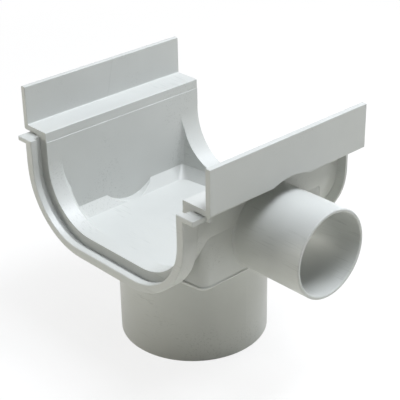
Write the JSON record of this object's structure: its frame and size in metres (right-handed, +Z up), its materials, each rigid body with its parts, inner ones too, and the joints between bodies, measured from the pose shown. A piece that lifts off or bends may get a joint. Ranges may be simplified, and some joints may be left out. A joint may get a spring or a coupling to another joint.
{
  "type": "gutter outlet",
  "caption": "Moulded rainwater gutter outlet: open trough with a sump, upright side fins, a downpipe spigot below and a smaller side spigot.",
  "frame": {"origin": "centre of the lower rim of the downpipe spigot, on the surface that the part stands on", "axes": "+Z up along the downpipe spigot, +X along the side spigot towards its mouth, -Y along the gutter towards the end with the gutter seat"},
  "size_m": [0.2285, 0.1554, 0.1842],
  "materials": {
    "rigid_pvc": "light grey rigid PVC with a soft moulded sheen"
  },
  "bodies": {
    "root": {"outlet_body": "rigid_pvc"}
  },
  "joints": []
}
